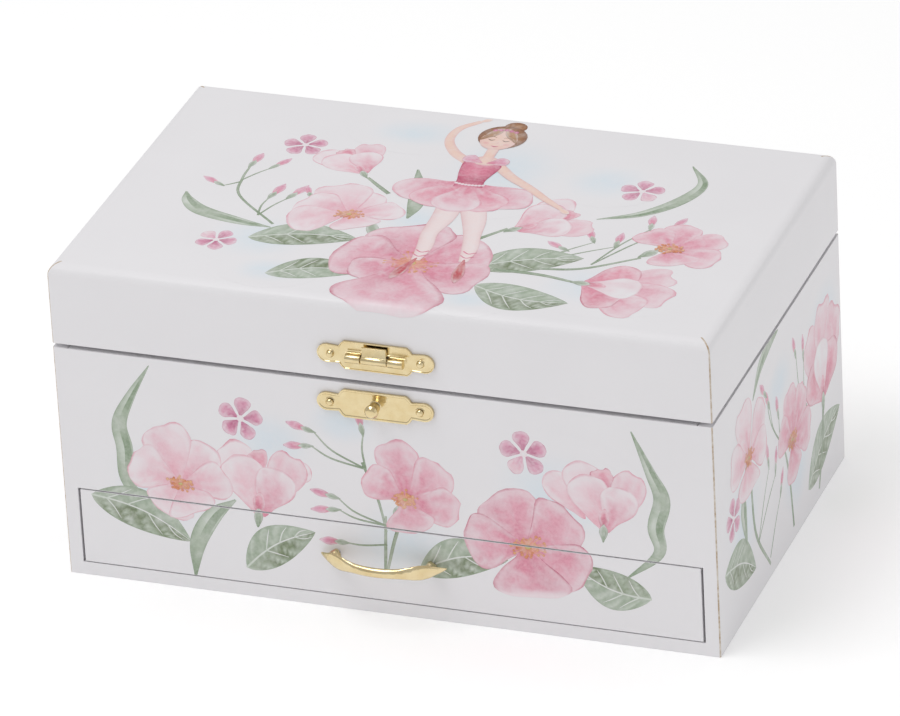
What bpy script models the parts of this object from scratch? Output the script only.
"""Ballerina jewellery box: a paper-covered wooden box with a drawer, a hinged lid, a lined tray, a
small musical movement, and a dancer who turns while it plays.

Frame: origin at the middle of the underside, +X right, +Y to the back, +Z up.
Every size below is in millimetres, and the helpers turn them into metres.
"""
import math

import bmesh
import bpy
from mathutils import Matrix, Vector

MM = 0.001
QUARTER = math.pi / 2

# ---- Driving sizes --------------------------------------------------------------------------------
WIDTH = 190.0            # outside, along X
DEPTH = 116.6            # outside, along Y
BODY_HEIGHT = 71.2       # underside to the body's rim
LID_HEIGHT = 23.9        # lid's rim to its top
LID_GAP = 1.3            # between the body's rim and the lid's rim
BOARD = 4.0              # thickness of every outer board
THIN_BOARD = 2.0         # inner partitions, cover and stage
SHELF = 3.0              # floor of the tray
GAP = 0.3                # between pieces that touch or are glued
LID_ROUND = 3.0          # radius along the lid's top edges

DRAWER_OPENING = 23.5    # height of the drawer's opening
DRAWER_SIDE_CLEAR = 0.7  # drawer front to side board, each side
DRAWER_TOP_CLEAR = 0.4   # drawer front to front board
DRAWER_WALL = 3.0
DRAWER_WALL_CLEAR = 1.3  # drawer's sides to the side boards
DRAWER_HEADROOM = 2.4    # drawer's sides to the tray's floor
DRAWER_BACK_ROOM = 10.0  # behind the closed drawer
FELT = 0.8

# Places of the brass fittings on the front, from the middle of the box along X.
CLASP_LID_X = 0.0
CLASP_LID_RISE = 7.8     # upper plate's middle above the lid's rim
CLASP_BODY_X = -0.9
CLASP_BODY_DROP = 5.9    # lower plate's middle below the body's rim
PULL_X = -0.9
PULL_RISE = 1.75         # pull above the middle of the drawer's opening

CLASP_LENGTH = 33.8
CLASP_MIDDLE = 18.0      # length of the tall middle section
CLASP_HEIGHT = 8.5
CLASP_LOBE = 5.5         # height of the end lobes
CLASP_SHEET = 0.8
CLASP_NAIL_X = 13.0      # nail to plate centre
CLASP_PIN_R = 0.5
CLASP_KNUCKLE_R = 1.3
CLASP_KNUCKLE = 7.4      # length of the tab's knuckle
CLASP_BULGE = 16.6       # length of the stamped bulge that holds the pin
CLASP_TAB_REACH = 3.9    # tab's free end above its pin
CLASP_RUN = 0.08         # radial clearance of the tab on its pin
NAIL_HEAD_R = 1.15
NAIL_HEAD = 0.75
NAIL_R = 0.5
NAIL_LENGTH = 3.2
NAIL_HOLE_R = 0.8
STUD_HOLE_R = 1.1

PULL_SPAN = 37.0
PULL_REACH = 8.0         # drawer front to the bow's centre line
PULL_BOSS_X = 14.0       # screw to the pull's centre
PULL_BOSS_R = 1.9
PULL_SCREW_R = 1.1

HINGE_X = 58.0           # hinges to the middle of the box
HINGE_WIDTH = 18.0
HINGE_LEAF = 10.0        # leaf height, from the pin
HINGE_SHEET = 0.8
HINGE_KNUCKLE_R = 1.3
HINGE_PIN_R = 0.6
HINGE_RUN = 0.08         # radial clearance of the pin in the body's knuckles

MIRROR_SHEET = 2.0
MIRROR_SIDE_ROOM = 11.0  # mirror to the lid's side walls
MIRROR_FRONT_ROOM = 8.0  # mirror to the lid's front wall
MIRROR_PIN_ROOM = 1.5    # mirror to the stop pin

# Movement: gear modules and tooth counts, with the sizes that follow from them further down.
FINE_MODULE = 0.5
ADDENDUM = 0.7           # tooth above and below the pitch circle, in modules
DEDENDUM = 0.9
GOVERNOR_MODULE = 0.4
GREAT_TEETH = 36
PINION_TEETH = 12
FACE_TEETH = 24
FIGURE_TEETH = 48
GOVERNOR_TEETH = 40
FLY_TEETH = 10
GEAR_WIDTH = 1.4
GOVERNOR_WIDTH = 1.2
WHEEL_SHEET = 1.5        # disc behind a crown wheel's teeth
CROWN_TOOTH = 1.0        # height of a crown wheel's teeth
CROWN_TOOTH_LENGTH = 1.4
DRUM_R = 6.5
DRUM_LENGTH = 16.0
ARBOR_R = 1.0
SPINDLE_R = 1.5
WINDING_R = 1.6
RUN = 0.08               # radial clearance of each arbor in its bearing
BEDPLATE = 1.7
BRACKET = 1.5
BED_CLEAR = 0.4          # largest wheel or housing to the bedplate
HOUSING_R = 10.8
HOUSING_LENGTH = 7.4
HOUSING_WALL = 1.0
COMB_TEETH = 16
COMB_SHEET = 1.0
COMB_REACH = 0.35        # comb's tips to the drum
COMB_HEEL = 4.2          # depth of the block under it
COMB_SCREW_HOLE_R = 0.9
FLY_R = 5.8
KEY_SPAN = 20.0

FIGURE_TO_WALL = 91.0    # dancer's axis to the right wall's inner face
WHEEL_TO_BACK = 1.7      # figure wheel to the back board's inner face
FLY_ROOM = 2.45          # fly's vanes to the front of the movement bay
COVER_HEADROOM = 3.2     # spring housing to the movement cover's underside
COVER_SIDE_ROOM = 0.9    # face gear's teeth to the movement cover's left side
STAGE_HEADROOM = 1.3     # figure wheel to the stage's underside
STAGE_LEFT = 20.0        # dancer's axis to the stage's left end
STAND_R = 7.0
STAND = 1.2
FIGURE_HEADROOM = 1.4    # raised hands to the lid's mirror
TUTU_R = 10.5
STOP_PIN_R = 1.0
STOP_PIN_TRAVEL = 2.5

DIVIDER_RISE = 24.0
CUSHION_RISE = 14.0
CUSHION_DEPTH = 44.0
CUSHION_CLEAR = 0.8

# ---- Places worked out from the driving sizes ------------------------------------------------------
HALF_W = WIDTH / 2
HALF_D = DEPTH / 2
IN_X = HALF_W - BOARD                 # inner faces of the side boards
IN_Y = HALF_D - BOARD                 # inner faces of the front and back boards
LID_RIM = BODY_HEIGHT + LID_GAP
LID_TOP = LID_RIM + LID_HEIGHT
LID_CEILING = LID_TOP - BOARD
DRAWER_TOP = BOARD + DRAWER_OPENING
TRAY_FLOOR = DRAWER_TOP + GAP + SHELF

HINGE_Y = HALF_D + GAP + HINGE_KNUCKLE_R
HINGE_Z = BODY_HEIGHT + LID_GAP / 2

CLASP_LID_Z = LID_RIM + CLASP_LID_RISE
CLASP_BODY_Z = BODY_HEIGHT - CLASP_BODY_DROP
PULL_Z = (BOARD + DRAWER_TOP) / 2 + PULL_RISE
CLASP_FACE_Y = -(HALF_D + GAP + CLASP_SHEET)          # front face of a clasp plate
CLASP_PIN_Y = CLASP_FACE_Y - 0.7
CLASP_PIN_Z = CLASP_LID_Z - 0.4

GREAT_R = FINE_MODULE * GREAT_TEETH / 2
PINION_R = FINE_MODULE * PINION_TEETH / 2
FACE_R = FINE_MODULE * FACE_TEETH / 2
FIGURE_R = FINE_MODULE * FIGURE_TEETH / 2
GOVERNOR_R = GOVERNOR_MODULE * GOVERNOR_TEETH / 2
FLY_PINION_R = GOVERNOR_MODULE * FLY_TEETH / 2
FIGURE_WHEEL_TIP = FIGURE_R + ADDENDUM * FINE_MODULE

FIGURE_X = IN_X - FIGURE_TO_WALL
CYLINDER_Y = IN_Y - WHEEL_TO_BACK - FIGURE_WHEEL_TIP
AXIS_RISE = max(HOUSING_R, GREAT_R + CROWN_TOOTH_LENGTH / 2) + BED_CLEAR   # arbors above the bedplate
BED_TOP = TRAY_FLOOR + GAP + BEDPLATE
AXIS_Z = BED_TOP + AXIS_RISE
FIGURE_WHEEL_Z = AXIS_Z - FACE_R
FACE_X = FIGURE_X + FIGURE_R + 0.8                    # root face of the face gear's teeth
LEFT_BRACKET_X = FACE_X + WHEEL_SHEET + 0.6
DRUM_X = LEFT_BRACKET_X + BRACKET + 0.7
RIGHT_BRACKET_X = DRUM_X + DRUM_LENGTH + 0.6
PINION_X = RIGHT_BRACKET_X + BRACKET + 1.7            # middle of the cylinder's pinion
GREAT_X = PINION_X + GREAT_R
GREAT_Y = CYLINDER_Y + PINION_R + 0.65                # root face of the great wheel's teeth
HOUSING_Y = GREAT_Y + WHEEL_SHEET + 0.8
GOVERNOR_PINION_X = GREAT_X + GREAT_R
FLY_Y = CYLINDER_Y - GOVERNOR_R - FLY_PINION_R
YOKE_X = GOVERNOR_PINION_X + 2.6
YOKE_WIDTH = 14.8
YOKE_SHEET = 1.2
GOVERNOR_WHEEL_X = YOKE_X + 3.2                       # middle of the governor's wheel
FLY_BLADE_X = YOKE_X + 6.9                            # middle of the fly
BRAKE_X = YOKE_X + 10.6                               # middle of the fly's brake disc
BRAKE_R = 3.0
KEY_Y = HALF_D + 2.2                                  # key's near end

BAY_Y = FLY_Y - FLY_R - FLY_ROOM - THIN_BOARD
BAY_DEPTH = IN_Y - BAY_Y
COVER_TOP = AXIS_Z + HOUSING_R + COVER_HEADROOM + THIN_BOARD
COVER_X = FACE_X - CROWN_TOOTH - COVER_SIDE_ROOM - THIN_BOARD
STAGE_Z = FIGURE_WHEEL_Z + GEAR_WIDTH / 2 + STAGE_HEADROOM
STAGE_TOP = STAGE_Z + THIN_BOARD
STAGE_X = FIGURE_X - STAGE_LEFT
STAND_TOP = STAGE_TOP + GAP + STAND
MIRROR_UNDER = LID_CEILING - GAP - MIRROR_SHEET
MIRROR_BACK = FLY_Y - STOP_PIN_R - MIRROR_PIN_ROOM
FIGURE_HEIGHT = MIRROR_UNDER - FIGURE_HEADROOM - STAND_TOP - GAP
DIVIDER_X = STAGE_X - GAP - THIN_BOARD


# ---- Helpers --------------------------------------------------------------------------------------
def clear_scene():
    """Remove every object, so that the script can be run again in the same file."""
    for obj in list(bpy.data.objects):
        bpy.data.objects.remove(obj, do_unlink=True)


def make_collection(name):
    """Return an empty collection of this name, linked to the scene."""
    old = bpy.data.collections.get(name)
    if old:
        bpy.data.collections.remove(old)
    collection = bpy.data.collections.new(name)
    bpy.context.scene.collection.children.link(collection)
    return collection


def make_material(name, colour, roughness, metallic=0.0):
    """Return a Principled BSDF material."""
    material = bpy.data.materials.new(name)
    material.use_nodes = True
    shader = material.node_tree.nodes["Principled BSDF"]
    shader.inputs["Base Color"].default_value = (*colour, 1.0)
    shader.inputs["Roughness"].default_value = roughness
    shader.inputs["Metallic"].default_value = metallic
    return material


clear_scene()
PARTS = make_collection("ballerina_jewellery_box")
CUTTERS = make_collection("cutters")
PAPER = make_material("paper", (0.86, 0.85, 0.86), 0.38)
BRASS = make_material("brass", (0.83, 0.66, 0.33), 0.2, 1.0)
STEEL = make_material("steel", (0.62, 0.62, 0.64), 0.3, 1.0)
SILVERED = make_material("mirror", (0.9, 0.9, 0.92), 0.03, 1.0)
VELVET = make_material("velvet", (0.72, 0.36, 0.45), 0.9)
WOOD = make_material("bare_wood", (0.62, 0.47, 0.31), 0.6)
PORCELAIN = make_material("figure_plastic", (0.93, 0.78, 0.72), 0.35)
TULLE = make_material("tulle", (0.92, 0.66, 0.74), 0.85)


def add_body(name, origin):
    """Return an empty on a moving body's axis, for its pieces to hang from."""
    empty = bpy.data.objects.new(name, None)
    PARTS.objects.link(empty)
    empty.location = Vector(origin) * MM
    return empty


def add(name, mesh, body, material, centre, turn=(0.0, 0.0, 0.0)):
    """Place a mesh as a named piece of a body; centre is in world millimetres."""
    piece = bpy.data.objects.new(name, mesh)
    PARTS.objects.link(piece)
    piece.parent = body
    piece.location = Vector(centre) * MM - body.location
    piece.rotation_euler = turn
    mesh.materials.append(material)
    return piece


def mesh_from(bm, name):
    """Turn a bmesh into a mesh with round faces shaded smooth."""
    mesh = bpy.data.meshes.new(name)
    bm.to_mesh(mesh)
    bm.free()
    mesh.shade_smooth()
    mesh.set_sharp_from_angle(angle=math.radians(35))
    return mesh


def block_mesh(name, size):
    """Return a rectangular block, centred on its origin."""
    bm = bmesh.new()
    bmesh.ops.create_cube(bm, size=1.0)
    bmesh.ops.scale(bm, vec=Vector(size) * MM, verts=bm.verts)
    return mesh_from(bm, name)


def rod_mesh(name, radius, length, sides=20, tip_radius=None):
    """Return a cylinder or cone along Z, centred on its origin."""
    tip = radius if tip_radius is None else tip_radius
    bm = bmesh.new()
    bmesh.ops.create_cone(bm, cap_ends=True, segments=sides, radius1=radius * MM,
                          radius2=tip * MM, depth=length * MM)
    return mesh_from(bm, name)


def board(name, body, material, x, y, z):
    """Add a block between two corners, given as ranges along each axis."""
    size = (x[1] - x[0], y[1] - y[0], z[1] - z[0])
    centre = (sum(x) / 2, sum(y) / 2, sum(z) / 2)
    return add(name, block_mesh(name, size), body, material, centre)


def circle(radius, centre=(0.0, 0.0), sides=20, start=0.0, end=2 * math.pi):
    """Return the points of a circle, or of an arc with both its ends."""
    whole = abs(end - start - 2 * math.pi) < 1e-9
    count = sides if whole else sides - 1
    angles = [start + (end - start) * i / count for i in range(sides)]
    return [(centre[0] + radius * math.cos(a), centre[1] + radius * math.sin(a)) for a in angles]


def plate_mesh(name, outlines, thickness):
    """Return a flat plate in XY from a filled 2D curve; outlines after the first are holes."""
    curve = bpy.data.curves.new(name, "CURVE")
    curve.dimensions = "2D"
    curve.fill_mode = "BOTH"
    curve.extrude = thickness * MM / 2
    for outline in outlines:
        spline = curve.splines.new("POLY")
        spline.points.add(len(outline) - 1)
        for point, (x, y) in zip(spline.points, outline):
            point.co = (x * MM, y * MM, 0.0, 1.0)
        spline.use_cyclic_u = True
    return solid_from_curve(curve)


def tube_mesh(name, points, radii, bevel_resolution=2):
    """Return a round wire through the points, with a radius at each."""
    curve = bpy.data.curves.new(name, "CURVE")
    curve.dimensions = "3D"
    curve.use_fill_caps = True
    curve.bevel_depth = MM
    curve.bevel_resolution = bevel_resolution
    spline = curve.splines.new("POLY")
    spline.points.add(len(points) - 1)
    for point, place, radius in zip(spline.points, points, radii):
        point.co = (*(Vector(place) * MM), 1.0)
        point.radius = radius
    return solid_from_curve(curve)


def solid_from_curve(curve):
    """Turn a curve into a closed mesh, with its caps welded, and remove the curve."""
    holder = bpy.data.objects.new(curve.name, curve)
    bpy.context.scene.collection.objects.link(holder)
    bpy.context.view_layer.update()
    evaluated = holder.evaluated_get(bpy.context.evaluated_depsgraph_get())
    mesh = bpy.data.meshes.new_from_object(evaluated)
    bpy.data.objects.remove(holder, do_unlink=True)
    bm = bmesh.new()
    bm.from_mesh(mesh)
    bpy.data.meshes.remove(mesh)
    bmesh.ops.remove_doubles(bm, verts=bm.verts, dist=1e-6)
    bmesh.ops.recalc_face_normals(bm, faces=bm.faces)
    return mesh_from(bm, curve.name)


def turned(name, body, material, centre, profile, turn=(0.0, 0.0, 0.0), ring=False, steps=24):
    """Add a turned piece. The profile is (radius, height) points, down the outer side; a ring's
    profile is a closed loop, and any other starts and ends on the axis."""
    mesh = bpy.data.meshes.new(name)
    points = [(radius * MM, 0.0, height * MM) for radius, height in profile]
    edges = [(i, i + 1) for i in range(len(points) - 1)]
    if ring:
        edges.append((len(points) - 1, 0))
    mesh.from_pydata(points, edges, [])
    piece = add(name, mesh, body, material, centre, turn)
    screw = piece.modifiers.new("turn", "SCREW")
    screw.axis = "Z"
    screw.steps = steps
    screw.render_steps = steps
    screw.use_merge_vertices = True
    screw.merge_threshold = 1e-6
    screw.use_smooth_shade = True
    return piece


def tool(name, mesh, centre, turn):
    """Place a mesh as a cutter, in world millimetres."""
    cutter = bpy.data.objects.new(name, mesh)
    CUTTERS.objects.link(cutter)
    cutter.location = Vector(centre) * MM
    cutter.rotation_euler = turn
    cutter.hide_render = True
    cutter.display_type = "WIRE"
    return cutter


def combine(piece, operation, mesh, centre, turn=(0.0, 0.0, 0.0)):
    """Cut a mesh from a piece, or join it on, with a Boolean modifier."""
    modifier = piece.modifiers.new(operation.lower(), "BOOLEAN")
    modifier.operation = operation
    modifier.solver = "EXACT"
    modifier.object = tool(piece.name + "_" + mesh.name, mesh, centre, turn)


def bore(piece, radius, length, centre, turn=(0.0, 0.0, 0.0), sides=20):
    """Drill a round hole through a piece."""
    combine(piece, "DIFFERENCE", rod_mesh("bore", radius, length, sides), centre, turn)


ALONG_X = (0.0, QUARTER, 0.0)         # local Z to +X
ALONG_MINUS_X = (0.0, -QUARTER, 0.0)  # local Z to -X
ALONG_MINUS_Y = (QUARTER, 0.0, 0.0)   # local Z to -Y, local Y to +Z
ALONG_Y = (-QUARTER, 0.0, 0.0)        # local Z to +Y


# ---- Case -----------------------------------------------------------------------------------------
def build_case(root):
    """Outer boards of the body, and the tray's floor."""
    board("base_panel", root, PAPER, (-HALF_W, HALF_W), (-HALF_D, HALF_D), (0.0, BOARD))
    sides_z = (BOARD + GAP, BODY_HEIGHT)
    board("side_panel_left", root, PAPER, (-HALF_W, -IN_X), (-HALF_D, HALF_D), sides_z)
    board("side_panel_right", root, PAPER, (IN_X, HALF_W), (-HALF_D, HALF_D), sides_z)
    inner_x = (-IN_X + GAP, IN_X - GAP)
    back = board("back_panel", root, PAPER, inner_x, (IN_Y, HALF_D), sides_z)
    bore(back, WINDING_R + 0.9, 3 * BOARD, (GREAT_X, IN_Y + BOARD / 2, AXIS_Z), ALONG_Y)
    front = board("front_panel", root, PAPER, inner_x, (-HALF_D, -IN_Y), (DRAWER_TOP, BODY_HEIGHT))
    drill_clasp_holes(front, CLASP_BODY_X, CLASP_BODY_Z)
    bore(front, STUD_HOLE_R, 2 * NAIL_LENGTH + 1.0, (CLASP_BODY_X, -HALF_D, CLASP_BODY_Z), ALONG_Y)
    board("shelf_panel", root, WOOD, inner_x, (-IN_Y + GAP, IN_Y - GAP), (DRAWER_TOP + GAP, TRAY_FLOOR))


def build_tray(root):
    """Linings, dividers and the ring cushion in the tray."""
    floor = TRAY_FLOOR + GAP
    left_x = (-IN_X + GAP, DIVIDER_X - GAP)
    front_x = (STAGE_X, IN_X - GAP)
    tray_y = (-IN_Y + GAP, IN_Y - GAP)
    bay_front = BAY_Y - GAP
    board("tray_lining_left", root, VELVET, left_x, tray_y, (floor, floor + FELT))
    board("tray_lining_front", root, VELVET, front_x, (tray_y[0], bay_front), (floor, floor + FELT))
    on_felt = floor + FELT + GAP
    wall_top = TRAY_FLOOR + DIVIDER_RISE
    board("tray_divider_long", root, VELVET, (DIVIDER_X, STAGE_X - GAP), tray_y, (floor, wall_top))
    board("tray_divider_left", root, VELVET, left_x, (-THIN_BOARD / 2, THIN_BOARD / 2), (on_felt, wall_top))
    cushion_x = (front_x[0] + CUSHION_CLEAR, front_x[1] - CUSHION_CLEAR)
    cushion_y = (tray_y[0] + CUSHION_CLEAR, tray_y[0] + CUSHION_CLEAR + CUSHION_DEPTH)
    board("ring_cushion", root, VELVET, cushion_x, cushion_y, (on_felt, on_felt + CUSHION_RISE))


def build_bay(root):
    """Stage under the dancer, and the cover over the movement."""
    floor = TRAY_FLOOR + GAP
    stage_x = (STAGE_X, COVER_X - GAP)
    stage = board("stage_board", root, VELVET, stage_x, (BAY_Y, IN_Y - GAP), (STAGE_Z, STAGE_TOP))
    bore(stage, SPINDLE_R + RUN, 3 * THIN_BOARD, (FIGURE_X, CYLINDER_Y, STAGE_Z))
    riser = block_mesh("riser", (stage_x[1] - stage_x[0], THIN_BOARD, STAGE_TOP - floor))
    combine(stage, "UNION", riser, (sum(stage_x) / 2, BAY_Y + THIN_BOARD / 2, (floor + STAGE_TOP) / 2))
    cover = board("movement_cover", root, VELVET, (COVER_X, IN_X - GAP), (BAY_Y, IN_Y - GAP),
                  (floor, COVER_TOP))
    inside_size = (IN_X - COVER_X, BAY_DEPTH, COVER_TOP - THIN_BOARD)
    inside_centre = (COVER_X + THIN_BOARD + inside_size[0] / 2, BAY_Y + THIN_BOARD + inside_size[1] / 2,
                     inside_size[2] / 2)
    combine(cover, "DIFFERENCE", block_mesh("inside", inside_size), inside_centre)
    slot_size = (3 * THIN_BOARD, BAY_DEPTH, STAGE_Z)
    slot_centre = (COVER_X, BAY_Y + THIN_BOARD + BAY_DEPTH / 2, STAGE_Z / 2)
    combine(cover, "DIFFERENCE", block_mesh("wheel_slot", slot_size), slot_centre)
    bore(cover, STOP_PIN_R + RUN, 4 * THIN_BOARD, (BRAKE_X, FLY_Y, COVER_TOP))


# ---- Lid ------------------------------------------------------------------------------------------
def build_lid(lid):
    """Top board with rounded edges, wall frame and mirror."""
    mesh = block_mesh("lid_top_panel", (WIDTH, DEPTH, BOARD))
    bm = bmesh.new()
    bm.from_mesh(mesh)
    top_edges = [e for e in bm.edges if all(v.co.z > 0 for v in e.verts)]
    bmesh.ops.bevel(bm, geom=top_edges, offset=LID_ROUND * MM, segments=4, profile=0.5, affect="EDGES")
    bm.to_mesh(mesh)
    bm.free()
    add("lid_top_panel", mesh, lid, PAPER, (0.0, 0.0, LID_TOP - BOARD / 2))
    frame = board("lid_wall_frame", lid, PAPER, (-HALF_W, HALF_W), (-HALF_D, HALF_D),
                  (LID_RIM, LID_CEILING - GAP))
    inside = block_mesh("inside", (2 * IN_X, 2 * IN_Y, 3 * LID_HEIGHT))
    combine(frame, "DIFFERENCE", inside, (0.0, 0.0, LID_RIM))
    drill_clasp_holes(frame, CLASP_LID_X, CLASP_LID_Z)
    half_mirror = IN_X - MIRROR_SIDE_ROOM
    board("lid_mirror", lid, SILVERED, (-half_mirror, half_mirror),
          (-IN_Y + MIRROR_FRONT_ROOM, MIRROR_BACK), (MIRROR_UNDER, LID_CEILING - GAP))


def hinge_leaf(name, body, centre_x, upward, knuckles):
    """One leaf of a butt hinge with its knuckles, given as ranges along X from the hinge's middle."""
    side = 1.0 if upward else -1.0
    near = HINGE_KNUCKLE_R + GAP
    back_y = HALF_D + GAP
    half = HINGE_WIDTH / 2
    z_range = sorted((HINGE_Z + side * near, HINGE_Z + side * HINGE_LEAF))
    leaf = board(name, body, BRASS, (centre_x - half, centre_x + half),
                 (back_y, back_y + HINGE_SHEET), z_range)
    for first, last in knuckles:
        length = last - first
        middle = centre_x + (first + last) / 2
        neck = block_mesh("neck", (length, HINGE_SHEET, near + 1.0))
        combine(leaf, "UNION", neck, (middle, back_y + HINGE_SHEET / 2, HINGE_Z + side * (near + 1.0) / 2))
        combine(leaf, "UNION", rod_mesh("knuckle", HINGE_KNUCKLE_R, length, 16),
                (middle, HINGE_Y, HINGE_Z), ALONG_X)
    return leaf


def build_hinges(root, lid):
    """Two brass butt hinges on the back. The pin is staked in the lid leaf's knuckle."""
    half = HINGE_WIDTH / 2
    inner = half / 3
    for side, centre_x in (("left", -HINGE_X), ("right", HINGE_X)):
        outer_knuckles = ((-half, -inner - GAP / 2), (inner + GAP / 2, half))
        leaf = hinge_leaf("hinge_leaf_body_" + side, root, centre_x, False, outer_knuckles)
        bore(leaf, HINGE_PIN_R + HINGE_RUN, 2 * HINGE_WIDTH, (centre_x, HINGE_Y, HINGE_Z), ALONG_X, 16)
        inner_knuckle = (-inner + GAP / 2, inner - GAP / 2)
        leaf = hinge_leaf("hinge_leaf_lid_" + side, lid, centre_x, True, (inner_knuckle,))
        combine(leaf, "UNION", rod_mesh("pin", HINGE_PIN_R, HINGE_WIDTH, 16),
                (centre_x, HINGE_Y, HINGE_Z), ALONG_X)


# ---- Clasp ----------------------------------------------------------------------------------------
def drill_clasp_holes(panel, centre_x, centre_z):
    """Drill the two nail holes of a clasp plate."""
    for side in (-1.0, 1.0):
        bore(panel, NAIL_HOLE_R, 2 * NAIL_LENGTH + 1.0, (centre_x + side * CLASP_NAIL_X, -HALF_D, centre_z),
             ALONG_Y, 12)


def clasp_outline():
    """Outline of a clasp plate: a tall middle with stepped shoulders and two round lobes."""
    lobe_r = CLASP_LOBE / 2
    half = CLASP_LENGTH / 2
    middle = CLASP_MIDDLE / 2
    top = CLASP_HEIGHT / 2
    right = circle(lobe_r, (half - lobe_r, 0.0), 9, -QUARTER, QUARTER)
    neck = lobe_r - 0.25
    shoulder = [(middle + 1.6, neck), (middle + 0.9, (top + neck) / 2 + 0.2), (middle, top)]
    upper_right = right[4:] + shoulder
    upper = upper_right + [(-x, y) for x, y in reversed(upper_right)]
    return upper + [(x, -y) for x, y in reversed(upper[1:-1])]


def clasp_plate(name, body, centre_x, centre_z):
    """One stamped plate, with its two nail holes."""
    centre = (centre_x, CLASP_FACE_Y + CLASP_SHEET / 2, centre_z)
    plate = add(name, plate_mesh(name, [clasp_outline()], CLASP_SHEET), body, BRASS, centre, ALONG_MINUS_Y)
    drill_clasp_holes(plate, centre_x, centre_z)
    return plate


def clasp_nails(prefix, body, centre_x, centre_z):
    """Two round-headed nails, turned, that hold a plate."""
    profile = [(0.0, NAIL_HEAD), (NAIL_HEAD_R * 0.6, NAIL_HEAD * 0.8), (NAIL_HEAD_R, 0.0),
               (NAIL_R, 0.0), (NAIL_R, -NAIL_LENGTH), (0.0, -NAIL_LENGTH - 0.6)]
    for side, word in ((-1.0, "left"), (1.0, "right")):
        centre = (centre_x + side * CLASP_NAIL_X, CLASP_FACE_Y - GAP, centre_z)
        turned(prefix + "_" + word, body, BRASS, centre, profile, ALONG_MINUS_Y, steps=12)


def build_clasp(root, lid, tab):
    """Upper plate with its pin and tab, lower plate with its stud, and the nails."""
    upper = clasp_plate("clasp_upper_plate", lid, CLASP_LID_X, CLASP_LID_Z)
    pin_centre = (CLASP_LID_X, CLASP_PIN_Y, CLASP_PIN_Z)
    combine(upper, "UNION", rod_mesh("bulge", CLASP_KNUCKLE_R, CLASP_BULGE, 16), pin_centre, ALONG_X)
    window = block_mesh("window", (CLASP_KNUCKLE + 2 * GAP, 6 * CLASP_SHEET, 2 * CLASP_KNUCKLE_R + 2 * GAP))
    combine(upper, "DIFFERENCE", window, pin_centre)
    bore(upper, CLASP_PIN_R + CLASP_RUN, CLASP_BULGE - 1.0, pin_centre, ALONG_X, 12)
    add("clasp_pin", rod_mesh("clasp_pin", CLASP_PIN_R, CLASP_BULGE - 1.6, 12), lid, BRASS,
        pin_centre, ALONG_X)
    clasp_nails("clasp_upper_nail", lid, CLASP_LID_X, CLASP_LID_Z)

    knuckle = add("clasp_tab", rod_mesh("clasp_tab", CLASP_KNUCKLE_R - 0.1, CLASP_KNUCKLE, 16), tab, BRASS,
                  pin_centre, ALONG_X)
    tab_size = (CLASP_KNUCKLE - 0.4, CLASP_SHEET, CLASP_TAB_REACH)
    tab_y = CLASP_FACE_Y - GAP - CLASP_SHEET / 2
    combine(knuckle, "UNION", block_mesh("leaf", tab_size),
            (CLASP_LID_X, tab_y, CLASP_PIN_Z + CLASP_TAB_REACH / 2))
    bore(knuckle, CLASP_PIN_R + CLASP_RUN, 2 * CLASP_KNUCKLE, pin_centre, ALONG_X, 12)

    lower = clasp_plate("clasp_lower_plate", root, CLASP_BODY_X, CLASP_BODY_Z)
    bore(lower, STUD_HOLE_R, 6 * CLASP_SHEET, (CLASP_BODY_X, CLASP_FACE_Y, CLASP_BODY_Z), ALONG_Y, 12)
    stud = [(0.0, 4.0), (1.3, 3.7), (2.0, 2.9), (1.9, 2.0), (1.2, 0.9), (1.6, 0.0), (0.8, 0.0),
            (0.8, -NAIL_LENGTH), (0.0, -NAIL_LENGTH)]
    turned("clasp_stud", root, BRASS, (CLASP_BODY_X, CLASP_FACE_Y - GAP, CLASP_BODY_Z), stud,
           ALONG_MINUS_Y, steps=16)
    clasp_nails("clasp_lower_nail", root, CLASP_BODY_X, CLASP_BODY_Z)


# ---- Drawer ---------------------------------------------------------------------------------------
def pull_section(across):
    """Half height, half thickness and reach of the pull, from its middle (0) to its tip (1)."""
    flare = math.exp(-((across - 0.68) / 0.2) ** 2)
    taper = max(0.0, 1.0 - across ** 6)
    half_height = 0.25 + (1.3 + 1.3 * flare) * taper
    half_depth = 0.25 + 1.0 * math.cos(across * QUARTER)
    reach = 0.9 + (PULL_REACH - 0.9) * math.cos(across * QUARTER) ** 0.85
    return half_height, half_depth, reach


def pull_mesh(stations=17, sides=8):
    """Loft the bow between its sections, which change in height, thickness and reach."""
    bm = bmesh.new()
    rings = []
    for i in range(stations):
        along = -1.0 + 2.0 * i / (stations - 1)
        half_height, half_depth, reach = pull_section(abs(along))
        ring = []
        for k in range(sides):
            a = 2 * math.pi * k / sides
            outward = half_depth * math.cos(a) - reach
            place = Vector((along * PULL_SPAN / 2, outward, half_height * math.sin(a)))
            ring.append(bm.verts.new(place * MM))
        rings.append(ring)
    for first, second in zip(rings, rings[1:]):
        for k in range(sides):
            bm.faces.new((first[k], second[k], second[(k + 1) % sides], first[(k + 1) % sides]))
    bm.faces.new(rings[0])
    bm.faces.new(list(reversed(rings[-1])))
    bmesh.ops.recalc_face_normals(bm, faces=bm.faces)
    return mesh_from(bm, "drawer_pull")


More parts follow.
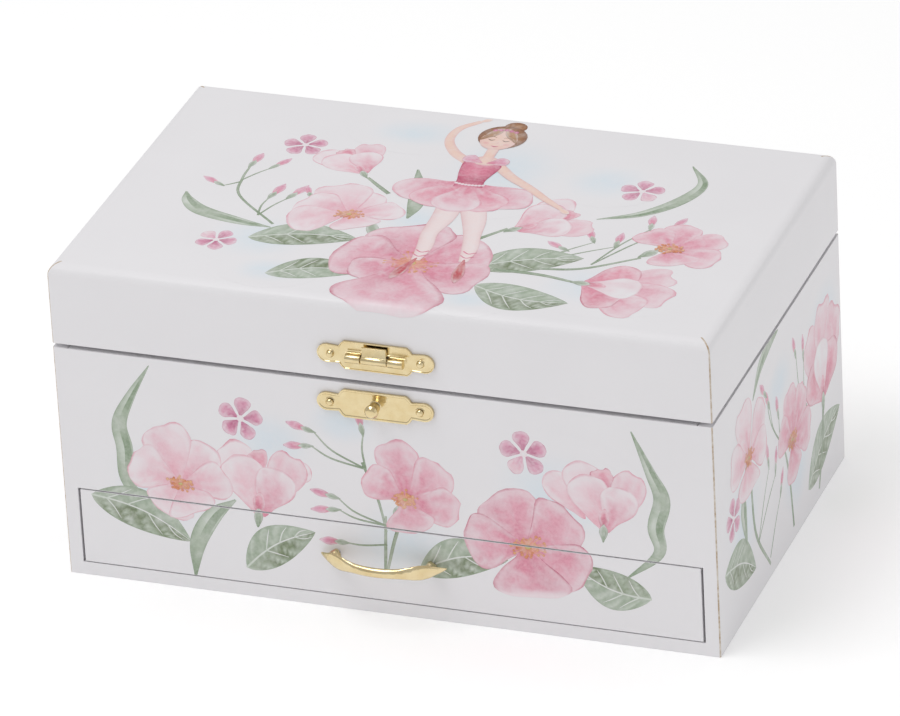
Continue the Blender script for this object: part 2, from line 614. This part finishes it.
def build_drawer(drawer):
    """Front, box, lining and the brass pull with its two screws."""
    front_x = IN_X - DRAWER_SIDE_CLEAR
    front_z = (BOARD + GAP, DRAWER_TOP - DRAWER_TOP_CLEAR)
    front = board("drawer_front", drawer, PAPER, (-front_x, front_x), (-HALF_D, -IN_Y), front_z)
    wall_x = IN_X - DRAWER_WALL_CLEAR
    box_y = (-IN_Y + GAP, IN_Y - DRAWER_BACK_ROOM)
    bottom_z = (BOARD + 2 * GAP, BOARD + 2 * GAP + THIN_BOARD)
    wall_z = (bottom_z[1] + GAP, DRAWER_TOP - DRAWER_HEADROOM)
    board("drawer_bottom", drawer, WOOD, (-wall_x, wall_x), box_y, bottom_z)
    board("drawer_side_left", drawer, WOOD, (-wall_x, -wall_x + DRAWER_WALL), box_y, wall_z)
    board("drawer_side_right", drawer, WOOD, (wall_x - DRAWER_WALL, wall_x), box_y, wall_z)
    inner_x = wall_x - DRAWER_WALL - GAP
    board("drawer_back", drawer, WOOD, (-inner_x, inner_x), (box_y[1] - DRAWER_WALL, box_y[1]), wall_z)
    board("drawer_lining", drawer, VELVET, (-inner_x, inner_x), (box_y[0], box_y[1] - DRAWER_WALL - GAP),
          (wall_z[0], wall_z[0] + FELT))
    pull_y = -HALF_D
    pull = add("drawer_pull", pull_mesh(), drawer, BRASS, (PULL_X, pull_y - GAP, PULL_Z))
    screw_profile = [(0.0, 3.0), (PULL_SCREW_R, 3.0), (PULL_SCREW_R, -BOARD - 0.2), (2.4, -BOARD - 0.2),
                     (2.0, -BOARD - 1.2), (0.0, -BOARD - 1.4)]
    for side, word in ((-1.0, "left"), (1.0, "right")):
        x = PULL_X + side * PULL_BOSS_X
        boss = rod_mesh("boss", PULL_BOSS_R, 3.4, 12)
        combine(pull, "UNION", boss, (x, pull_y - GAP - 1.7, PULL_Z), ALONG_Y)
        bore(pull, PULL_SCREW_R + 0.2, 5.6, (x, pull_y, PULL_Z), ALONG_Y, 12)
        bore(front, PULL_SCREW_R + 0.3, 4 * BOARD, (x, pull_y, PULL_Z), ALONG_Y, 12)
        turned("pull_screw_" + word, drawer, STEEL, (x, pull_y - 0.1, PULL_Z),
               [(r, h - 0.8) if h > 0 else (r, h) for r, h in screw_profile], ALONG_MINUS_Y, steps=12)


# ---- Movement -------------------------------------------------------------------------------------
def gear_outline(teeth, module, phase=0.0):
    """Outline of a spur gear with plain tapered teeth, thin enough to run with some play."""
    pitch_r = module * teeth / 2
    step = 2 * math.pi / teeth
    root, tip = pitch_r - DEDENDUM * module, pitch_r + ADDENDUM * module
    points = []
    for k in range(teeth):
        middle = phase + k * step
        for radius, share in ((root, -0.22), (tip, -0.11), (tip, 0.11), (root, 0.22)):
            angle = middle + share * step
            points.append((radius * math.cos(angle), radius * math.sin(angle)))
    return points


def gear_mesh(name, teeth, module, width, phase=0.0, hole=None):
    """Return a spur gear, with a hole in its middle if one is given."""
    holes = [circle(hole, sides=16)] if hole else []
    return plate_mesh(name, [gear_outline(teeth, module, phase)] + holes, width)


def crown_mesh(name, teeth, module):
    """Return a crown wheel: a disc whose rim is cut into sectors, every third one raised."""
    outer = module * teeth / 2 + CROWN_TOOTH_LENGTH / 2
    sectors = 3 * teeth
    bm = bmesh.new()
    bmesh.ops.create_cone(bm, cap_ends=True, segments=sectors, radius1=outer * MM,
                          radius2=outer * MM, depth=WHEEL_SHEET * MM)
    half_sector = math.pi / sectors
    bmesh.ops.rotate(bm, verts=bm.verts, cent=(0, 0, 0), matrix=rotation_z(half_sector))
    bmesh.ops.translate(bm, verts=bm.verts, vec=(0, 0, -WHEEL_SHEET * MM / 2))
    top = max(bm.faces, key=lambda f: f.calc_center_median().z)
    rim = bmesh.ops.inset_region(bm, faces=[top], thickness=CROWN_TOOTH_LENGTH * MM, use_even_offset=True)
    raised = [f for f in rim["faces"] if is_tooth(f, teeth)]
    lifted = bmesh.ops.extrude_discrete_faces(bm, faces=raised)["faces"]
    for face in lifted:
        bmesh.ops.translate(bm, verts=face.verts, vec=(0, 0, CROWN_TOOTH * MM))
    return mesh_from(bm, name)


def rotation_z(angle):
    """Return a rotation matrix about Z."""
    return Matrix.Rotation(angle, 3, "Z")


def is_tooth(face, teeth):
    """Say whether a rim face is centred on a multiple of the tooth pitch."""
    middle = face.calc_center_median()
    turns = math.atan2(middle.y, middle.x) / (2 * math.pi / teeth)
    return abs(turns - round(turns)) < 0.1


def spiral_outline(inner, outer, turns, thickness, per_turn=14):
    """Outline of a flat spiral strip."""
    count = int(turns * per_turn)
    sides = []
    for offset in (0.0, thickness):
        line = []
        for i in range(count + 1):
            angle = 2 * math.pi * i / per_turn
            radius = inner + (outer - inner) * i / count + offset
            line.append((radius * math.cos(angle), radius * math.sin(angle)))
        sides.append(line)
    return sides[0] + sides[1][::-1]


def bracket_mesh(name, width, height, axis_height, hole):
    """Return an upright bearing plate with a round top, its foot at local Y = 0."""
    half = width / 2
    arc = circle(half, (0.0, height - half), 9, 0.0, math.pi)
    outline = [(-half, 0.0), (half, 0.0)] + arc
    return plate_mesh(name, [outline, circle(hole, (0.0, axis_height), 16)], BRACKET)


def build_movement_frame(root):
    """Bedplate, bearings, spring housing, comb and governor yoke."""
    bed_x = (FIGURE_X - 14.0, YOKE_X + YOKE_WIDTH + 3.0)
    bed = board("movement_bedplate", root, BRASS, bed_x, (BAY_Y + THIN_BOARD + 1.0, IN_Y - 0.8),
                (TRAY_FLOOR + GAP, BED_TOP))
    bore(bed, SPINDLE_R + RUN, 4 * BEDPLATE, (FIGURE_X, CYLINDER_Y, BED_TOP))
    upright = (QUARTER, 0.0, QUARTER)
    for word, x in (("left", LEFT_BRACKET_X), ("right", RIGHT_BRACKET_X)):
        name = "cylinder_bracket_" + word
        mesh = bracket_mesh(name, 6.4, AXIS_RISE + 2.9, AXIS_RISE - GAP, ARBOR_R + RUN)
        add(name, mesh, root, BRASS, (x + BRACKET / 2, CYLINDER_Y, BED_TOP + GAP), upright)
    hole, inside = WINDING_R + 0.3, HOUSING_R - HOUSING_WALL
    cup = [(HOUSING_R, HOUSING_LENGTH), (HOUSING_R, 0.0), (hole, 0.0), (hole, HOUSING_WALL),
           (inside, HOUSING_WALL), (inside, HOUSING_LENGTH)]
    housing_end = HOUSING_Y + HOUSING_LENGTH
    turned("spring_housing", root, BRASS, (GREAT_X, housing_end, AXIS_Z), cup, ALONG_MINUS_Y,
           ring=True, steps=32)
    coil_width = HOUSING_LENGTH - HOUSING_WALL - 1.0
    spiral = spiral_outline(WINDING_R + 0.6, inside - 0.8, 4.0, 0.4)
    coil_y = HOUSING_Y + 0.5 + coil_width / 2
    add("mainspring", plate_mesh("mainspring", [spiral], coil_width), root, STEEL,
        (GREAT_X, coil_y, AXIS_Z), ALONG_MINUS_Y)
    build_comb(root)
    build_yoke(root)


def comb_outline(width, length):
    """Outline of the comb: a plate whose far edge is cut into teeth."""
    pitch = width / COMB_TEETH
    cut = 0.32 * pitch
    root_y = length * 0.42
    points = [(-width / 2, 0.0), (width / 2, 0.0)]
    for k in reversed(range(COMB_TEETH)):
        left = -width / 2 + k * pitch
        points += [(left + pitch - cut / 2, length), (left + cut / 2, length)]
        if k:
            points += [(left + cut / 2, root_y), (left - cut / 2, root_y)]
    points[2] = (width / 2, length)
    points[-1] = (-width / 2, length)
    return points


def build_comb(root):
    """Steel comb in front of the drum, on its block, with its screw."""
    tip_y = CYLINDER_Y - DRUM_R - COMB_REACH
    heel_y = BAY_Y + THIN_BOARD + 1.8
    width = DRUM_LENGTH - 1.0
    middle_x = DRUM_X + DRUM_LENGTH / 2
    hole = circle(COMB_SCREW_HOLE_R, (0.0, COMB_HEEL / 2), 12)
    mesh = plate_mesh("comb", [comb_outline(width, tip_y - heel_y), hole], COMB_SHEET)
    add("comb", mesh, root, STEEL, (middle_x, heel_y, AXIS_Z))
    block_top = AXIS_Z - COMB_SHEET / 2 - GAP
    block = board("comb_block", root, BRASS, (middle_x - width / 2, middle_x + width / 2),
                  (heel_y, heel_y + COMB_HEEL), (BED_TOP + GAP, block_top))
    profile = [(0.0, 1.3), (1.5, 1.1), (1.5, 0.0), (0.6, 0.0), (0.6, -4.0), (0.0, -4.0)]
    screw_y = heel_y + COMB_HEEL / 2
    bore(block, COMB_SCREW_HOLE_R, 10.0, (middle_x, screw_y, block_top), sides=12)
    turned("comb_screw", root, STEEL, (middle_x, screw_y, AXIS_Z + COMB_SHEET / 2 + GAP), profile, steps=12)


def build_yoke(root):
    """U-shaped bearing for the governor's two arbors."""
    height = AXIS_RISE + 3.0
    inner = YOKE_WIDTH - YOKE_SHEET
    outline = [(0.0, 0.0), (YOKE_WIDTH, 0.0), (YOKE_WIDTH, height), (inner, height),
               (inner, YOKE_SHEET), (YOKE_SHEET, YOKE_SHEET), (YOKE_SHEET, height), (0.0, height)]
    front, back = FLY_Y - 3.0, CYLINDER_Y + 3.0
    yoke = add("governor_yoke", plate_mesh("governor_yoke", [outline], back - front), root, BRASS,
               (YOKE_X, (front + back) / 2, BED_TOP + GAP), ALONG_MINUS_Y)
    for y in (CYLINDER_Y, FLY_Y):
        bore(yoke, ARBOR_R + RUN, 3 * YOKE_WIDTH, (YOKE_X, y, AXIS_Z), ALONG_X)


def build_winding(winding):
    """Great wheel, winding arbor and key, which turn together as the spring runs down."""
    wheel = add("great_wheel", crown_mesh("great_wheel", GREAT_TEETH, FINE_MODULE), winding, BRASS,
                (GREAT_X, GREAT_Y, AXIS_Z), ALONG_MINUS_Y)
    bore(wheel, WINDING_R + GAP, 8 * WHEEL_SHEET, (GREAT_X, GREAT_Y, AXIS_Z), ALONG_Y)
    near = GREAT_Y - CROWN_TOOTH
    far = KEY_Y + 5.0
    add("winding_arbor", rod_mesh("winding_arbor", WINDING_R, far - near), winding, STEEL,
        (GREAT_X, (near + far) / 2, AXIS_Z), ALONG_Y)
    hub = [(0.0, 8.0), (2.8, 8.0), (2.8, 0.0), (WINDING_R + GAP, 0.0), (WINDING_R + GAP, 5.0 + GAP),
           (0.0, 5.0 + GAP)]
    key = turned("winding_key", winding, BRASS, (GREAT_X, KEY_Y, AXIS_Z), hub, ALONG_Y, steps=20)
    half = KEY_SPAN / 2
    wing = circle(4.2, (half - 4.2, 0.0), 9, -QUARTER, QUARTER)
    bow = wing + [(3.0, 3.0), (-3.0, 3.0)] + [(-x, -y) for x, y in wing] + [(-3.0, -3.0), (3.0, -3.0)]
    combine(key, "UNION", plate_mesh("bow", [bow], 1.8), (GREAT_X, KEY_Y + 11.0, AXIS_Z), (0.0, 0.0, 0.0))


def build_cylinder(cylinder):
    """Pinned drum, its arbor with the driving pinion, and the face gear that turns the dancer."""
    drum = add("music_cylinder", rod_mesh("music_cylinder", DRUM_R, DRUM_LENGTH, 32), cylinder, BRASS,
               (DRUM_X + DRUM_LENGTH / 2, CYLINDER_Y, AXIS_Z), ALONG_X)
    bore(drum, ARBOR_R + GAP, 2 * DRUM_LENGTH, (DRUM_X, CYLINDER_Y, AXIS_Z), ALONG_X, 16)
    half_pitch = math.pi / PINION_TEETH
    arbor = add("cylinder_arbor", gear_mesh("pinion", PINION_TEETH, FINE_MODULE, GEAR_WIDTH, half_pitch),
                cylinder, STEEL, (PINION_X, CYLINDER_Y, AXIS_Z), ALONG_X)
    near, far = FACE_X - CROWN_TOOTH / 2, PINION_X + GEAR_WIDTH
    rod = rod_mesh("rod", ARBOR_R, far - near, 16)
    combine(arbor, "UNION", rod, ((near + far) / 2, CYLINDER_Y, AXIS_Z), ALONG_X)
    face = add("figure_drive_gear", crown_mesh("figure_drive_gear", FACE_TEETH, FINE_MODULE),
               cylinder, BRASS, (FACE_X, CYLINDER_Y, AXIS_Z), ALONG_MINUS_X)
    bore(face, ARBOR_R + GAP, 8 * WHEEL_SHEET, (FACE_X, CYLINDER_Y, AXIS_Z), ALONG_X, 16)


def build_governor(governor, fly):
    """Governor wheel moulded on its pinion arbor, and the fly that it spins."""
    half_pitch = math.pi / PINION_TEETH
    arbor = add("governor_wheel", gear_mesh("pinion", PINION_TEETH, FINE_MODULE, GEAR_WIDTH, half_pitch),
                governor, STEEL, (GOVERNOR_PINION_X, CYLINDER_Y, AXIS_Z), ALONG_X)
    near, far = GOVERNOR_PINION_X - GEAR_WIDTH, YOKE_X + YOKE_WIDTH + 0.5
    rod = rod_mesh("rod", ARBOR_R, far - near, 16)
    combine(arbor, "UNION", rod, ((near + far) / 2, CYLINDER_Y, AXIS_Z), ALONG_X)
    wheel = gear_mesh("wheel", GOVERNOR_TEETH, GOVERNOR_MODULE, GOVERNOR_WIDTH)
    combine(arbor, "UNION", wheel, (GOVERNOR_WHEEL_X, CYLINDER_Y, AXIS_Z), ALONG_X)

    spin = add("fly", gear_mesh("fly_pinion", FLY_TEETH, GOVERNOR_MODULE, GEAR_WIDTH), fly, STEEL,
               (GOVERNOR_WHEEL_X, FLY_Y, AXIS_Z), ALONG_X)
    near = YOKE_X - 0.5
    rod = rod_mesh("rod", ARBOR_R, far - near, 16)
    combine(spin, "UNION", rod, ((near + far) / 2, FLY_Y, AXIS_Z), ALONG_X)
    combine(spin, "UNION", rod_mesh("brake", BRAKE_R, 1.2, 20), (BRAKE_X, FLY_Y, AXIS_Z), ALONG_X)
    combine(spin, "UNION", rod_mesh("hub", 2.0, 3.0, 16), (FLY_BLADE_X, FLY_Y, AXIS_Z), ALONG_X)
    combine(spin, "UNION", block_mesh("vane", (3.0, 2 * FLY_R, 0.5)), (FLY_BLADE_X, FLY_Y, AXIS_Z))


def build_stop_pin(stop_pin):
    """Wire that the closed lid holds down on the fly's brake disc."""
    foot = AXIS_Z + BRAKE_R + 0.4
    top = LID_CEILING - GAP
    add("stop_pin", rod_mesh("stop_pin", STOP_PIN_R, top - foot, 16), stop_pin, STEEL,
        (BRAKE_X, FLY_Y, (foot + top) / 2))


# ---- Dancer ---------------------------------------------------------------------------------------
def build_dancer(figure):
    """Figure wheel with its spindle, stand, dancer and tutu, which turn together."""
    x, y = FIGURE_X, CYLINDER_Y
    half_pitch = math.pi / FIGURE_TEETH
    toothed = gear_mesh("figure_wheel", FIGURE_TEETH, FINE_MODULE, GEAR_WIDTH, half_pitch)
    wheel = add("figure_wheel", toothed, figure, BRASS, (x, y, FIGURE_WHEEL_Z))
    low, high = TRAY_FLOOR + 2 * GAP, STAGE_TOP
    combine(wheel, "UNION", rod_mesh("spindle", SPINDLE_R, high - low), (x, y, (low + high) / 2))
    stand = [(0.0, STAND), (STAND_R - 0.4, STAND), (STAND_R, STAND - 0.4), (STAND_R, 0.0), (0.0, 0.0)]
    turned("figure_stand", figure, BRASS, (x, y, STAGE_TOP + GAP), stand, steps=32)

    foot = STAND_TOP + GAP
    unit = FIGURE_HEIGHT / 45.0
    outline = [(0.0, 34.0), (0.9, 33.8), (1.0, 32.4), (2.9, 31.2), (2.8, 29.0), (2.0, 25.6), (3.1, 22.2),
               (2.6, 18.0), (1.7, 13.5), (1.9, 9.0), (1.1, 3.0), (1.2, 0.0), (0.0, 0.0)]
    dancer = turned("ballerina_figure", figure, PORCELAIN, (x, y, foot),
                    [(r * unit, h * unit) for r, h in outline], steps=16)
    head = bmesh.new()
    bmesh.ops.create_icosphere(head, subdivisions=2, radius=2.7 * unit * MM)
    combine(dancer, "UNION", mesh_from(head, "head"), (x, y, foot + 35.9 * unit))
    bun = bmesh.new()
    bmesh.ops.create_icosphere(bun, subdivisions=1, radius=1.4 * unit * MM)
    combine(dancer, "UNION", mesh_from(bun, "bun"), (x, y + 1.5 * unit, foot + 38.6 * unit))
    for side, word in ((-1.0, "left"), (1.0, "right")):
        reach = [(2.2, 31.0), (4.6, 34.2), (5.6, 38.0), (4.2, 42.0), (1.2, 44.2)]
        points = [(side * px * unit, 0.0, pz * unit) for px, pz in reach]
        radii = [thick * unit for thick in (0.95, 0.85, 0.75, 0.6, 0.5)]
        arm = tube_mesh("arm_" + word, points, radii, 1)
        combine(dancer, "UNION", arm, (x, y, foot))

    waist = 22.6 * unit
    ring = [(TUTU_R, -1.2), (TUTU_R, -1.8), (3.2 * unit + GAP, -0.4), (3.2 * unit + GAP, 1.0)]
    turned("tutu", figure, TULLE, (x, y, foot + waist), ring, ring=True, steps=32)


def build():
    """Build every body and its pieces."""
    root = add_body("body_root", (0.0, 0.0, 0.0))
    lid = add_body("body_lid", (0.0, HINGE_Y, HINGE_Z))
    tab = add_body("body_clasp_tab", (CLASP_LID_X, CLASP_PIN_Y, CLASP_PIN_Z))
    drawer = add_body("body_drawer", (0.0, -HALF_D, BOARD))
    winding = add_body("body_winding", (GREAT_X, GREAT_Y, AXIS_Z))
    cylinder = add_body("body_cylinder", (PINION_X, CYLINDER_Y, AXIS_Z))
    figure = add_body("body_dancer", (FIGURE_X, CYLINDER_Y, STAGE_TOP))
    governor = add_body("body_governor", (GOVERNOR_PINION_X, CYLINDER_Y, AXIS_Z))
    fly = add_body("body_fly", (FLY_BLADE_X, FLY_Y, AXIS_Z))
    stop_pin = add_body("body_stop_pin", (BRAKE_X, FLY_Y, AXIS_Z))
    build_case(root)
    build_tray(root)
    build_bay(root)
    build_lid(lid)
    build_hinges(root, lid)
    build_clasp(root, lid, tab)
    build_drawer(drawer)
    build_movement_frame(root)
    build_winding(winding)
    build_cylinder(cylinder)
    build_governor(governor, fly)
    build_stop_pin(stop_pin)
    build_dancer(figure)


build()
